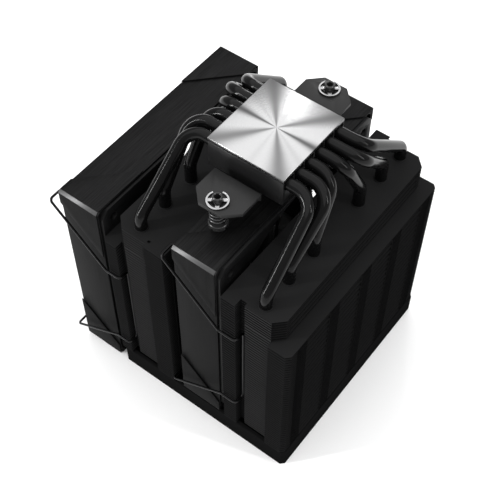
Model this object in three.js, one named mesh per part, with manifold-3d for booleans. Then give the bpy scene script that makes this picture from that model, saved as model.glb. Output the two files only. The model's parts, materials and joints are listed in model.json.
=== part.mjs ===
// Twin-tower CPU air cooler: two fin towers on six heat pipes, a polished contact plate,
// a spring-screw mounting bar, and two 120 mm fans in metal sleeves held by wire clips.
//
// Units are millimetres. The cooler stands on its top cover, as it is laid down before it is
// fitted, so the contact plate faces up. +Z is up, +X is the way the air blows (outer fan,
// outer tower, middle fan, rear tower) and +Y runs along the fins. The origin is the centre of
// the standing face, on the axis of the contact plate.
import * as THREE from 'three';
import { mergeVertices } from 'three/addons/utils/BufferGeometryUtils.js';
import Module from 'manifold-3d';

const wasm = await Module();
wasm.setup();

// ---------------------------------------------------------------- driving dimensions

const GAP = 0.3; // air between pieces that touch on the real cooler

// Fans
const FRAME_SIZE = 120; // plastic fan frame, across
const FRAME_DEPTH = 25;
const FRAME_CORNER = 4; // cut across each corner of the frame
const FRAME_WALL = 2.5; // frame beside its round bore, at its thinnest
const SLEEVE_WALL = 1.2;
const FLANGE_DEPTH = 1.2; // the frame's back flange, which the sleeve leaves bare
const GUARD_WALL = 0.7; // corner guards, proud of the sleeve
const GUARD_SHORT = 9; // reach of a guard along a face, at its short end
const GUARD_LONG = 34;
const EDGE_CHAMFER = 1.5; // bright chamfer along the guards' corners
const BLADES = 9;
const BLADE_GAP = 1.5; // blade tip to bore
const BLADE_WALL = 1.5;
const BLADE_PITCH = 38; // degrees, at the hub
const BLADE_TWIST = 14; // degrees lost from hub to tip
const BLADE_SWEEP = 0.25; // radians that a blade leans forward by its tip
const BLADE_CAMBER = 0.1; // its hollow, as a share of its chord
const HUB_RADIUS = 20.5;
const HUB_WALL = 1.5;
const HUB_SETBACK = 1.5; // hub behind the frame's front
const HUB_BACK_ROOM = 4; // hub to motor plate, for the circuit board
const MOTOR_ROOM = 1.5; // air between the pieces inside the hub
const MAGNET_WALL = 1.6;
const STRUT_WIDTH = 3.5;
const STRUT_DEPTH = 4;
const STRUTS = 4;
const MOTOR_PLATE_WALL = 2.5;
const SHAFT_RADIUS = 1.5;
const RUNNING_GAP = 0.1; // shaft to bearing
const BEARING_WALL = 1.4;
const BEARING_CUP_WALL = 1.4;
const BOARD_THICKNESS = 1.2;
const BOARD_INSET = 2; // the board is smaller than the stator by this
const STATOR_GAP = 1.1; // stator to magnet ring
const STATOR_DEPTH = 8;
const STATOR_POLES = 4;
const STATOR_ARM = 5;
const STATOR_CORE = 9.6; // radius
const STATOR_RIM = 2.5;
const STATOR_SLOT = 4;
const STATOR_SLOT_DEPTH = 6;
const SCREW_HOLE_RADIUS = 2.15;
const SCREW_HOLE_INSET = 7.5; // from the frame's sides

// Fin towers
const FIN_LENGTH = 125;
const FIN_PITCH = 4.25; // each modelled fin stands for a close pair of real ones
const FIN_THICKNESS = 1;
const WIDE_FINS = 23;
const NARROW_FINS = 4;
const MIDDLE_FAN_FRONT_ROOM = 6.6; // outer tower to middle fan
const MIDDLE_FAN_BACK_ROOM = 2; // middle fan to rear tower
const WIDE_DEPTH = 37.8; // wide fins, along the air
const NARROW_DEPTH = 30.9; // the fins by the contact plate, which leave a step
const FOLD_WIDTH = 14.6; // band where folded tabs close the fin ends
const FOLD_RECESS = 2.6;
const CLIP_NOTCH_WIDTH = 3.4;
const CLIP_NOTCH_DEPTH = 4.6;
const WIDE_CORNER = 2;
const NARROW_CORNER = 4.9;

// Top cover
const COVER_HEIGHT = 12.5;
const COVER_WALL = 2.5;
const COVER_FLOOR = 2;
const COVER_FRONT_SETBACK = 2; // its front edge stays behind the outer fan
const COVER_BACK_OVERHANG = 0.7;
const COVER_CORNER = 2;

// Contact plate, base block and heat pipes
const PLATE_WIDTH = 41; // across X
const PLATE_THICKNESS = 2;
const BASE_HEIGHT = 14.4;
const BASE_END_WALL = 0.8; // base block beyond its outer pipe holes
const PIPE_RADIUS = 3;
const PIPE_FIT = 0.35; // pipe to its hole
const PIPE_COVER = 0.2; // pipe below the base block's top
const PIPE_BASE_PITCH = 7.5;
const PIPE_ROW = 18.7; // pipe centre from a tower's inner face
const PIPE_END = 4.5; // lower pipe ends, above the floor of the cover
const UPPER_BEND = 9.5;
const LOWER_BEND = 7.5;
// One line for each pipe of one half: where it enters the fins along Y, how far past the
// tower's pipe row its upper bend swings, and how high it rises from the fins before it leans.
const PIPES = [
  { entry: 18.2, swing: -1.5, rise: 11 },
  { entry: FIN_LENGTH / 2 - 25.3, swing: 2.5, rise: 10.5 },
  { entry: FIN_LENGTH / 2 - 8.3, swing: -1.5, rise: 7.5 },
];

// Mounting bar and its two spring screws
const BAR_OVERHANG = 5.5; // bar beyond its nuts
const BAR_WIDTH = 25.4;
const BAR_WAIST = 17;
const BAR_WALL = 2;
const BAR_CORNER = 6.5;
const BAR_RISE = 7; // its ends stand above its middle by this
const BAR_BEND_GAP = 1.5; // base block to the start of the rise
const BAR_BEND_RUN = 3.4; // length of the rise
const BAR_SCREW_SPACING = 24;
const BAR_SCREW_RADIUS = 1.5;
const BAR_SCREW_LENGTH = 5;
const BAR_SCREW_HEAD_RADIUS = 2.8;
const BAR_SCREW_HEAD = 1.8;
const NUT_SPACING = 84;
const NUT_RADIUS = 2.4;
const NUT_WALL = 0.9;
const NUT_HOLE_GAP = 0.4;
const NUT_FAN_ROOM = 2.7; // middle fan to the nuts' heads
const NUT_FIN_ROOM = 17.3; // fins to the nuts' heads, which the pipes need for their bends
const NUT_TIP = 3.6; // nut above the bar
const NUT_HEAD_RADIUS = 4.5;
const NUT_HEAD = 3;
const NUT_SLOT_WIDTH = 1.2;
const SPRING_LENGTH = 10.5; // as fitted
const SPRING_FIT = 1.2; // nut to the spring's wire centre
const SPRING_WIRE = 0.45;
const SPRING_TURNS = 4.5;
const RING_WALL = 0.8;
const RING_MARGIN = 2.9; // ring beyond the nut
const RING_WIDTH = 0.9;
const RING_LUG_WIDTH = 1.8;
const RING_GROOVE_DEPTH = 0.45;
const RING_MOUTH = 50; // degrees open
const RING_DIRECTION = 126; // degrees from +X to the middle of the mouth

// Wire fan clips
const WIRE_RADIUS = 0.65;
const WIRE_BEND = 2;
const CLIP_REACH = 4.7; // in front of the fan
const CLIP_STANDOFF = 2.2; // wire centre to the fan's side
const CLIP_HOOK = 6.5; // how far the hook comes back over the fan's front
const CLIP_HOOK_INSET = 8; // hooks, from the fan's upper and lower sides
const CLIP_UPPER_LEG = 23; // where the clip enters the fins, above the fan's axis
const CLIP_LOWER_LEG = 36; // and below it

// ---------------------------------------------------------------- derived places

const frameBore = FRAME_SIZE / 2 - FRAME_WALL; // radius
const sleeveDepth = FRAME_DEPTH - FLANGE_DEPTH;
const sleeveHalf = FRAME_SIZE / 2 + GAP + SLEEVE_WALL;
const guardInner = sleeveHalf + GAP;
const fanHalf = guardInner + GUARD_WALL;
const towerInner = (MIDDLE_FAN_FRONT_ROOM + FRAME_DEPTH + MIDDLE_FAN_BACK_ROOM) / 2;
const wideOuter = towerInner + WIDE_DEPTH;
const narrowOuter = towerInner + NARROW_DEPTH;
const pipeRow = towerInner + PIPE_ROW;
const pipeHole = PIPE_RADIUS + PIPE_FIT;
const foldStart = pipeRow - FOLD_WIDTH / 2;
const foldEnd = pipeRow + FOLD_WIDTH / 2;
const wideBottom = COVER_HEIGHT + GAP;
const wideTop = wideBottom + (WIDE_FINS - 1) * FIN_PITCH + FIN_THICKNESS;
const narrowBottom = wideTop + FIN_PITCH / 2;
const narrowTop = narrowBottom + (NARROW_FINS - 1) * FIN_PITCH + FIN_THICKNESS;
const outerFanX = -wideOuter - GAP - FRAME_DEPTH / 2;
const middleFanX = towerInner - MIDDLE_FAN_BACK_ROOM - FRAME_DEPTH / 2;
const middleFanZ = COVER_HEIGHT + GAP + fanHalf;
const nutHeadBottom = Math.max(middleFanZ + fanHalf + NUT_FAN_ROOM, narrowTop + NUT_FIN_ROOM);
const nutHeadTop = nutHeadBottom + NUT_HEAD;
const springBottom = nutHeadTop + GAP;
const springTop = springBottom + SPRING_LENGTH;
const barEndBottom = springTop + GAP;
const barEndTop = barEndBottom + BAR_WALL;
const nutTop = barEndTop + NUT_TIP;
const barTop = barEndTop - BAR_RISE;
const baseBottom = barTop + GAP;
const baseTop = baseBottom + BASE_HEIGHT;
const pipeHeight = baseTop - PIPE_COVER - PIPE_RADIUS;
const plateTop = baseTop + GAP + PLATE_THICKNESS;
const lastLane = (PIPES.length - 0.5) * PIPE_BASE_PITCH;
const plateLength = 2 * (lastLane + pipeHole + BASE_END_WALL); // across Y
const barBendStart = plateLength / 2 + BAR_BEND_GAP;
const barBendEnd = barBendStart + BAR_BEND_RUN;
const barEnd = NUT_SPACING / 2 + BAR_OVERHANG;
const nutBore = NUT_RADIUS - NUT_WALL;
const springRadius = NUT_RADIUS + SPRING_FIT;
const ringRadius = NUT_RADIUS + RING_MARGIN;

// ---------------------------------------------------------------- materials

function finish(name, color, roughness, metalness) {
  return new THREE.MeshStandardMaterial({ name, color, roughness, metalness });
}

const finned = finish('black coated aluminium fins', 0x1b1b1c, 0.5, 0.6);
const brushed = finish('brushed black aluminium', 0x2a2a2b, 0.4, 0.9);
const coverBlack = finish('black coated cover', 0x1d1d1e, 0.5, 0.5);
const pipeBlack = finish('black nickel pipe', 0x17171a, 0.18, 0.9);
const nickel = finish('polished nickel', 0xd6d8da, 0.2, 1);
const baseBlack = finish('black base', 0x202022, 0.4, 0.7);
const steelBlack = finish('black coated steel', 0x252526, 0.45, 0.6);
const wireSteel = finish('dark spring wire', 0x3a3a3c, 0.3, 0.9);
const brightSteel = finish('bright steel', 0xc8c8ca, 0.25, 1);
const plastic = finish('black plastic', 0x121213, 0.55, 0);
const copper = finish('copper coil', 0x9a5a33, 0.4, 0.9);
const magnet = finish('dark magnet', 0x2c2b2b, 0.7, 0.2);
const bronze = finish('sintered bronze', 0x8c6a3a, 0.5, 0.8);
const boardGreen = finish('circuit board', 0x14301f, 0.6, 0);

// ---------------------------------------------------------------- shape helpers

const X = new THREE.Vector3(1, 0, 0);
const Y = new THREE.Vector3(0, 1, 0);
const Z = new THREE.Vector3(0, 0, 1);
const INTO_YZ = new THREE.Matrix4().makeBasis(Y, Z, X); // drawn (y, z), extruded along +X
const INTO_XZ = new THREE.Matrix4().makeBasis(X, Z, Y.clone().negate()); // drawn (x, z)
const LATHE_TO_Z = new THREE.Matrix4().makeRotationX(Math.PI / 2);
const LATHE_TO_X = new THREE.Matrix4().makeRotationZ(-Math.PI / 2);

function outline(points) {
  return new THREE.Shape(points.map(([a, b]) => new THREE.Vector2(a, b)));
}

// A straight prism of an outline, from 0 to depth along the axis that it is drawn across.
function prism(points, depth, plane = new THREE.Matrix4()) {
  const settings = { depth, bevelEnabled: false };
  return new THREE.ExtrudeGeometry(outline(points), settings).applyMatrix4(plane);
}

function box(width, length, height) {
  return new THREE.BoxGeometry(width, length, height);
}

function rodZ(radius, low, high, sides = 24) {
  const rod = new THREE.CylinderGeometry(radius, radius, high - low, sides);
  return rod.applyMatrix4(LATHE_TO_Z).translate(0, 0, (low + high) / 2);
}

// A tube round X, from low to high along it.
function tubeX(outer, inner, low, high, sides = 32) {
  const profile = [[inner, low], [outer, low], [outer, high], [inner, high], [inner, low]];
  const points = profile.map(([r, x]) => new THREE.Vector2(r, x));
  return new THREE.LatheGeometry(points, sides).applyMatrix4(LATHE_TO_X);
}

function discX(radius, low, high, sides = 32) {
  const disc = new THREE.CylinderGeometry(radius, radius, high - low, sides);
  return disc.applyMatrix4(LATHE_TO_X).translate((low + high) / 2, 0, 0);
}

function squareWithCutCorners(half, cut) {
  return [
    [half - cut, -half], [half, cut - half], [half, half - cut], [half - cut, half],
    [cut - half, half], [-half, half - cut], [-half, cut - half], [cut - half, -half],
  ];
}

function solid(geometry) {
  const bare = geometry.clone();
  bare.deleteAttribute('normal');
  bare.deleteAttribute('uv');
  const merged = mergeVertices(bare, 1e-4);
  return new wasm.Manifold(new wasm.Mesh({
    numProp: 3,
    vertProperties: merged.attributes.position.array,
    triVerts: new Uint32Array(merged.index.array),
  }));
}

function cut(geometry, cutters) {
  return cutters.reduce((body, cutter) => body.subtract(solid(cutter)), solid(geometry));
}

function surfaceOf(body) {
  const { vertProperties, triVerts } = body.getMesh();
  const geometry = new THREE.BufferGeometry();
  geometry.setAttribute('position', new THREE.BufferAttribute(vertProperties, 3));
  geometry.setIndex(new THREE.BufferAttribute(triVerts, 1));
  geometry.computeVertexNormals();
  return geometry;
}

function piece(name, shape, material) {
  const geometry = shape.isBufferGeometry ? shape : surfaceOf(shape);
  const mesh = new THREE.Mesh(geometry, material);
  mesh.name = name;
  return mesh;
}

// ---------------------------------------------------------------- wires and tubes

// A path through given points that keeps their own spacing, so bends get the most of them.
class PointPath extends THREE.Curve {
  constructor(points) {
    super();
    this.points = points;
  }

  getPointAt(u) {
    const place = u * (this.points.length - 1);
    const index = Math.min(Math.floor(place), this.points.length - 2);
    return this.points[index].clone().lerp(this.points[index + 1], place - index);
  }

  getTangentAt(u) {
    const index = Math.round(u * (this.points.length - 1));
    const before = this.points[Math.max(index - 1, 0)];
    const here = this.points[index];
    const after = this.points[Math.min(index + 1, this.points.length - 1)];
    const arriving = here.clone().sub(before).normalize();
    const leaving = after.clone().sub(here).normalize();
    return arriving.add(leaving).normalize();
  }
}

// The corners of a bent wire as a run of points, each inner corner rounded to its radius.
function bend(corners, radii, stepsPerBend) {
  const points = [corners[0]];
  for (let i = 1; i < corners.length - 1; i++) {
    const arriving = corners[i].clone().sub(corners[i - 1]).normalize();
    const leaving = corners[i + 1].clone().sub(corners[i]).normalize();
    const turn = arriving.angleTo(leaving);
    const inward = leaving.clone().addScaledVector(arriving, -arriving.dot(leaving)).normalize();
    const start = corners[i].clone().addScaledVector(arriving, -radii[i - 1] * Math.tan(turn / 2));
    for (let step = 0; step <= stepsPerBend; step++) {
      const angle = turn * step / stepsPerBend;
      points.push(start.clone()
        .addScaledVector(arriving, radii[i - 1] * Math.sin(angle))
        .addScaledVector(inward, radii[i - 1] * (1 - Math.cos(angle))));
    }
  }
  points.push(corners[corners.length - 1]);
  return points;
}

function rod(points, radius, sides) {
  const section = new THREE.Shape();
  section.absarc(0, 0, radius, 0, 2 * Math.PI);
  const extrudePath = new PointPath(points);
  const settings = { extrudePath, steps: points.length - 1, curveSegments: sides };
  return new THREE.ExtrudeGeometry(section, settings);
}

// ---------------------------------------------------------------- contact plate and base

const contactPlate = box(PLATE_WIDTH, plateLength, PLATE_THICKNESS)
  .translate(0, 0, plateTop - PLATE_THICKNESS / 2);

const pipeLanes = PIPES.flatMap((pipe, index) => [-1, 1].map((side) => ({
  ...pipe,
  side,
  lane: side * (index + 0.5) * PIPE_BASE_PITCH,
  entry: side * pipe.entry,
})));

function pipeGroove(lane) {
  const height = baseTop + GAP - pipeHeight;
  const slot = box(PLATE_WIDTH + 2, 2 * pipeHole, height)
    .translate(0, lane, pipeHeight + height / 2);
  const round = discX(pipeHole, -PLATE_WIDTH / 2 - 1, PLATE_WIDTH / 2 + 1, 12)
    .translate(0, lane, pipeHeight);
  return [slot, round];
}

const barScrewPlaces = [-1, 1].map((side) => side * BAR_SCREW_SPACING / 2);

const baseBlock = cut(
  box(PLATE_WIDTH, plateLength, BASE_HEIGHT).translate(0, 0, baseBottom + BASE_HEIGHT / 2),
  [
    ...pipeLanes.flatMap(({ lane }) => pipeGroove(lane)),
    ...barScrewPlaces.map((y) => rodZ(
      BAR_SCREW_RADIUS + GAP, baseBottom - 1, barTop - BAR_WALL + BAR_SCREW_LENGTH + GAP, 12,
    ).translate(0, y, 0)),
  ],
);

// Each pipe is one U: up from one tower, over through the base block and down into the other.
function heatPipe({ lane, entry, swing, rise }) {
  const leanHeight = narrowTop + rise;
  const bendX = pipeRow + swing;
  const half = [
    new THREE.Vector3(pipeRow, entry, COVER_FLOOR + PIPE_END),
    new THREE.Vector3(pipeRow, entry, leanHeight),
    new THREE.Vector3(bendX, lane, pipeHeight),
  ];
  const mirrored = half.map((corner) => new THREE.Vector3(-corner.x, corner.y, corner.z));
  const corners = [...half, ...mirrored.reverse()];
  return rod(bend(corners, [LOWER_BEND, UPPER_BEND, UPPER_BEND, LOWER_BEND], 4), PIPE_RADIUS, 4);
}

// ---------------------------------------------------------------- fin towers

// Side view of a fin stack: fins joined by the solid run round the pipes.
function finComb(outer, bottom, count) {
  const rising = [];
  const falling = [];
  for (let fin = 0; fin < count; fin++) {
    const low = bottom + fin * FIN_PITCH;
    const high = low + FIN_THICKNESS;
    rising.push([outer, low], [outer, high]);
    falling.push([towerInner, low], [towerInner, high]);
    if (fin < count - 1) {
      rising.push([foldEnd, high], [foldEnd, low + FIN_PITCH]);
      falling.push([foldStart, high], [foldStart, low + FIN_PITCH]);
    }
  }
  return [...rising, ...falling.reverse()];
}

// Plan of a fin: end bands, a clip notch and cut outer corners, mirrored about y = 0. The notch
// is on the side that the air comes from: outside on the first tower, inside on the second.
function finPlan(direction, outer, corner, isWide) {
  const end = FIN_LENGTH / 2;
  const fold = end - FOLD_RECESS;
  const notch = end - CLIP_NOTCH_DEPTH;
  const half = [[towerInner - 1, end + 1]];
  if (direction > 0) {
    half.push(
      [foldStart - CLIP_NOTCH_WIDTH, end + 1],
      [foldStart - CLIP_NOTCH_WIDTH, notch],
      [foldStart, notch],
    );
  } else {
    half.push([foldStart, end + 1]);
  }
  half.push([foldStart, fold], [foldEnd, fold]);
  if (isWide && direction < 0) {
    half.push(
      [foldEnd, notch],
      [foldEnd + CLIP_NOTCH_WIDTH, notch],
      [foldEnd + CLIP_NOTCH_WIDTH, end + 1],
    );
  } else if (isWide) {
    half.push([foldEnd, end + 1]);
  }
  if (isWide) half.push([outer - corner - 1, end + 1]);
  half.push([outer + 1, (isWide ? end : fold) - corner - 1]);
  return [...half, ...half.map(([x, y]) => [x, -y]).reverse()];
}

function finStack(direction, outer, bottom, count, corner, isWide) {
  const turned = ([x, other]) => [direction * x, other];
  const top = bottom + (count - 1) * FIN_PITCH + FIN_THICKNESS;
  const comb = prism(finComb(outer, bottom, count).map(turned), FIN_LENGTH, INTO_XZ)
    .translate(0, FIN_LENGTH / 2, 0);
  const plan = prism(finPlan(direction, outer, corner, isWide).map(turned), top - bottom + 2)
    .translate(0, 0, bottom - 1);
  const bores = pipeLanes.map(({ entry }) => rodZ(pipeHole, bottom - 1, top + 1, 12)
    .translate(direction * pipeRow, entry, 0));
  return bores.reduce((body, bore) => body.subtract(solid(bore)), solid(comb).intersect(solid(plan)));
}

function finTower(name, direction) {
  const wide = finStack(direction, wideOuter, wideBottom, WIDE_FINS, WIDE_CORNER, true);
  const narrow = finStack(
    direction, narrowOuter, narrowBottom, NARROW_FINS, NARROW_CORNER, false,
  );
  const tower = new THREE.Group();
  tower.add(
    piece(`${name}_wide_fins`, wide, finned),
    piece(`${name}_narrow_fins`, narrow, finned),
  );
  return tower;
}

// ---------------------------------------------------------------- top cover

function coverPlan(inset, cornerCut) {
  const front = -wideOuter + COVER_FRONT_SETBACK + inset;
  const back = wideOuter + COVER_BACK_OVERHANG - inset;
  const side = FIN_LENGTH / 2 - inset;
  return [
    [front + cornerCut, -side], [back - cornerCut, -side], [back, cornerCut - side],
    [back, side - cornerCut], [back - cornerCut, side], [front + cornerCut, side],
    [front, side - cornerCut], [front, cornerCut - side],
  ];
}

const topCover = cut(prism(coverPlan(0, COVER_CORNER), COVER_HEIGHT), [
  prism(coverPlan(COVER_WALL, COVER_CORNER / 2), COVER_HEIGHT).translate(0, 0, COVER_FLOOR),
]);

// ---------------------------------------------------------------- mounting bar and nuts

function barSideView() {
  const half = [
    [barBendStart, barTop], [barBendEnd, barEndTop], [barEnd, barEndTop],
    [barEnd, barEndBottom], [barBendEnd + BAR_WALL / 2, barEndBottom],
    [barBendStart + BAR_WALL / 2, barTop - BAR_WALL],
  ];
  return [...half, ...half.map(([y, z]) => [-y, z]).reverse()];
}

function barPlan() {
  const side = BAR_WIDTH / 2;
  const quarter = [
    [BAR_WAIST / 2, barBendStart], [side - 1, barBendEnd - 1], [side, barBendEnd],
    [side, barEnd - BAR_CORNER], [side - BAR_CORNER, barEnd],
  ];
  const half = [...quarter, ...quarter.map(([x, y]) => [-x, y]).reverse()];
  return [...half, ...half.map(([x, y]) => [-x, -y])];
}

const nutPlaces = [-1, 1].map((side) => side * NUT_SPACING / 2);

function mountingBar() {
  const bent = prism(barSideView(), BAR_WIDTH, INTO_YZ).translate(-BAR_WIDTH / 2, 0, 0);
  const plan = prism(barPlan(), BAR_RISE + BAR_WALL + 2).translate(0, 0, barTop - BAR_WALL - 1);
  const holes = [
    ...nutPlaces.map((y) => [NUT_RADIUS + NUT_HOLE_GAP, y]),
    ...barScrewPlaces.map((y) => [BAR_SCREW_RADIUS + GAP, y]),
  ];
  return holes.reduce(
    (body, [radius, y]) => body.subtract(
      solid(rodZ(radius, barTop - BAR_WALL - 1, barEndTop + 1, 12).translate(0, y, 0)),
    ),
    solid(bent).intersect(solid(plan)),
  );
}

// Half profile from the axis, out and round, back to the axis: [radius, height] pairs.
function turned(profile, sides) {
  const points = profile.map(([r, z]) => new THREE.Vector2(r, z));
  return new THREE.LatheGeometry(points, sides).applyMatrix4(LATHE_TO_Z);
}

function barScrew(y) {
  const headTop = barTop - BAR_WALL - GAP;
  const end = headTop + BAR_SCREW_LENGTH;
  const profile = [
    [0, headTop - BAR_SCREW_HEAD], [BAR_SCREW_HEAD_RADIUS, headTop - BAR_SCREW_HEAD],
    [BAR_SCREW_HEAD_RADIUS, headTop], [BAR_SCREW_RADIUS, headTop], [BAR_SCREW_RADIUS, end], [0, end],
  ];
  return turned(profile, 10).translate(0, y, 0);
}

const ringBottom = barEndTop + GAP;
const ringTop = ringBottom + RING_WALL;

function mountingNut(y) {
  const grooveRadius = NUT_RADIUS - RING_GROOVE_DEPTH;
  const profile = [
    [0, nutHeadBottom], [NUT_HEAD_RADIUS, nutHeadBottom], [NUT_HEAD_RADIUS, nutHeadTop],
    [NUT_RADIUS, nutHeadTop], [NUT_RADIUS, ringBottom - GAP / 2],
    [grooveRadius, ringBottom - GAP / 2], [grooveRadius, ringTop + GAP / 2],
    [NUT_RADIUS, ringTop + GAP / 2], [NUT_RADIUS, nutTop], [nutBore, nutTop],
    [nutBore, nutHeadTop + 1], [0, nutHeadTop + 1],
  ];
  const reach = 1.6 * NUT_HEAD_RADIUS;
  return cut(turned(profile, 14), [
    box(reach, NUT_SLOT_WIDTH, NUT_HEAD).translate(0, 0, nutHeadBottom),
    box(NUT_SLOT_WIDTH, reach, NUT_HEAD).translate(0, 0, nutHeadBottom),
  ]).translate(0, y, 0);
}

function nutSpring(y) {
  const low = springBottom + SPRING_WIRE;
  const rise = SPRING_LENGTH - 2 * SPRING_WIRE;
  const count = SPRING_TURNS * 6;
  const points = [];
  for (let step = 0; step <= count; step++) {
    const angle = step * Math.PI / 3;
    points.push(new THREE.Vector3(
      springRadius * Math.cos(angle), springRadius * Math.sin(angle), low + rise * step / count,
    ));
  }
  return rod(points, SPRING_WIRE, 3).translate(0, y, 0);
}

// An open ring whose three lugs hold the groove of the nut.
function retainingRing(y) {
  const mouth = THREE.MathUtils.degToRad(RING_MOUTH) / 2;
  const shape = new THREE.Shape();
  shape.absarc(0, 0, ringRadius, mouth, 2 * Math.PI - mouth, false);
  shape.absarc(0, 0, ringRadius - RING_WIDTH, 2 * Math.PI - mouth, mouth, true);
  const settings = { depth: RING_WALL, bevelEnabled: false, curveSegments: 7 };
  const ring = solid(new THREE.ExtrudeGeometry(shape, settings));
  const lugInner = NUT_RADIUS - RING_GROOVE_DEPTH + GAP / 2;
  const lugLength = ringRadius - RING_WIDTH / 2 - lugInner;
  const lugs = [90, 180, 270].map((angle) => solid(
    box(lugLength, RING_LUG_WIDTH, RING_WALL)
      .translate(lugInner + lugLength / 2, 0, RING_WALL / 2)
      .rotateZ(THREE.MathUtils.degToRad(angle)),
  ));
  return lugs.reduce((body, lug) => body.add(lug), ring)
    .rotate([0, 0, RING_DIRECTION])
    .translate(0, y, ringBottom);
}

// ---------------------------------------------------------------- fans

// Everything in a fan is drawn round the X axis, with the middle of the frame at x = 0 and its
// open side, where the air goes in, at -X. The motor plate and its struts are at +X.
const fanFront = -FRAME_DEPTH / 2;
const fanBack = FRAME_DEPTH / 2;
const strutFront = fanBack - STRUT_DEPTH;
const motorFront = fanBack - MOTOR_PLATE_WALL;
const hubFront = fanFront + HUB_SETBACK;
const hubBack = motorFront - HUB_BACK_ROOM;
const bearingOuter = SHAFT_RADIUS + RUNNING_GAP + BEARING_WALL;
const cupInner = bearingOuter + GAP;
const cupOuter = cupInner + BEARING_CUP_WALL;
const bearingFront = hubFront + HUB_WALL + MOTOR_ROOM;
const boardBack = hubBack + MOTOR_ROOM;
const statorBack = boardBack - BOARD_THICKNESS - MOTOR_ROOM;
const statorFront = statorBack - STATOR_DEPTH;
const magnetOuter = HUB_RADIUS - HUB_WALL - GAP;
const magnetInner = magnetOuter - MAGNET_WALL;
const statorRadius = magnetInner - STATOR_GAP;

function fanSleeve() {
  const outer = prism(squareWithCutCorners(sleeveHalf, EDGE_CHAMFER), sleeveDepth, INTO_YZ);
  const hollow = prism(
    squareWithCutCorners(sleeveHalf - SLEEVE_WALL, FRAME_CORNER / 2), sleeveDepth + 2, INTO_YZ,
  );
  return cut(outer, [hollow.translate(-1, 0, 0)]).translate(fanFront, 0, 0);
}

// The guard of one corner: two legs with slanting ends. The legs lie on the faces that meet at
// the corner (+y, +z); turned round X, it serves every corner.
function cornerGuard(quarterTurns, frontReach, backReach) {
  const low = guardInner;
  const longest = Math.max(frontReach, backReach);
  const section = [
    [fanHalf, fanHalf - longest], [fanHalf, fanHalf - EDGE_CHAMFER],
    [fanHalf - EDGE_CHAMFER, fanHalf], [fanHalf - longest, fanHalf], [fanHalf - longest, low],
    [low - EDGE_CHAMFER + GAP, low], [low, low - EDGE_CHAMFER + GAP], [low, fanHalf - longest],
  ];
  const angle = prism(section, sleeveDepth, INTO_YZ);
  // The wedge beyond the slanting end, in the plane of a leg: (x, distance from the corner).
  const wedge = [[-1, frontReach - (backReach - frontReach) / sleeveDepth],
    [sleeveDepth + 1, backReach + (backReach - frontReach) / sleeveDepth],
    [sleeveDepth + 1, longest + 10], [-1, longest + 10]];
  const upright = prism(wedge.map(([x, reach]) => [x, fanHalf - reach]), 4, INTO_XZ)
    .translate(0, fanHalf + 2, 0);
  const flat = prism(wedge.map(([x, reach]) => [x, fanHalf - reach]), 4)
    .translate(0, 0, fanHalf - 2);
  return surfaceOf(cut(angle, [upright, flat]))
    .translate(fanFront, 0, 0)
    .rotateX(quarterTurns * Math.PI / 2);
}

function fanFrame() {
  const block = prism(squareWithCutCorners(FRAME_SIZE / 2, FRAME_CORNER), FRAME_DEPTH, INTO_YZ);
  const screwHolePlace = FRAME_SIZE / 2 - SCREW_HOLE_INSET;
  const holeAt = [-1, 1].flatMap((a) => [-1, 1].map((b) => [a, b]))
    .map(([a, b]) => discX(SCREW_HOLE_RADIUS, fanFront - 1, fanBack + 1, 6)
      .translate(0, a * screwHolePlace, b * screwHolePlace));
  const duct = cut(block.translate(fanFront, 0, 0), [
    discX(frameBore, fanFront - 1, fanBack + 1, 32), ...holeAt,
  ]);
  const strutLength = frameBore - HUB_RADIUS + 3;
  const struts = Array.from({ length: STRUTS }, (_, index) => box(
    STRUT_DEPTH, STRUT_WIDTH, strutLength,
  ).translate(strutFront + STRUT_DEPTH / 2, 0, HUB_RADIUS - 2 + strutLength / 2)
    .rotateX((index + 0.5) * 2 * Math.PI / STRUTS));
  const parts = [
    ...struts,
    discX(HUB_RADIUS, motorFront, fanBack, 24),
    tubeX(cupOuter, cupInner, bearingFront, motorFront + 1, 12),
  ];
  return parts.reduce((body, part) => body.add(solid(part)), duct);
}

// A cambered blade: a thin strip across the hub's side, drawn out to the tip and twisted.
function blade() {
  const root = HUB_RADIUS - 0.7;
  const tip = frameBore - BLADE_GAP;
  const chord = (hubBack - hubFront - BLADE_WALL) / Math.sin(THREE.MathUtils.degToRad(BLADE_PITCH));
  const upper = [];
  const lower = [];
  for (let step = 0; step <= 3; step++) {
    const along = step / 3 - 0.5;
    const camber = BLADE_CAMBER * chord * (1 - 4 * along * along);
    upper.push([along * chord, camber + BLADE_WALL / 2]);
    lower.push([along * chord, camber - BLADE_WALL / 2]);
  }
  const settings = { depth: tip - root, steps: 2, bevelEnabled: false };
  const geometry = new THREE.ExtrudeGeometry(outline([...upper, ...lower.reverse()]), settings);
  const position = geometry.attributes.position;
  for (let i = 0; i < position.count; i++) {
    const out = position.getZ(i) / (tip - root);
    const radius = root + position.getZ(i);
    const pitch = THREE.MathUtils.degToRad(BLADE_PITCH - BLADE_TWIST * out);
    const along = position.getX(i) * Math.cos(pitch) - position.getY(i) * Math.sin(pitch);
    const across = position.getX(i) * Math.sin(pitch) + position.getY(i) * Math.cos(pitch);
    const angle = BLADE_SWEEP * out - along / radius;
    position.setXYZ(i, across, radius * Math.sin(angle), radius * Math.cos(angle));
  }
  return geometry.translate((hubFront + hubBack) / 2, 0, 0);
}

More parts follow.
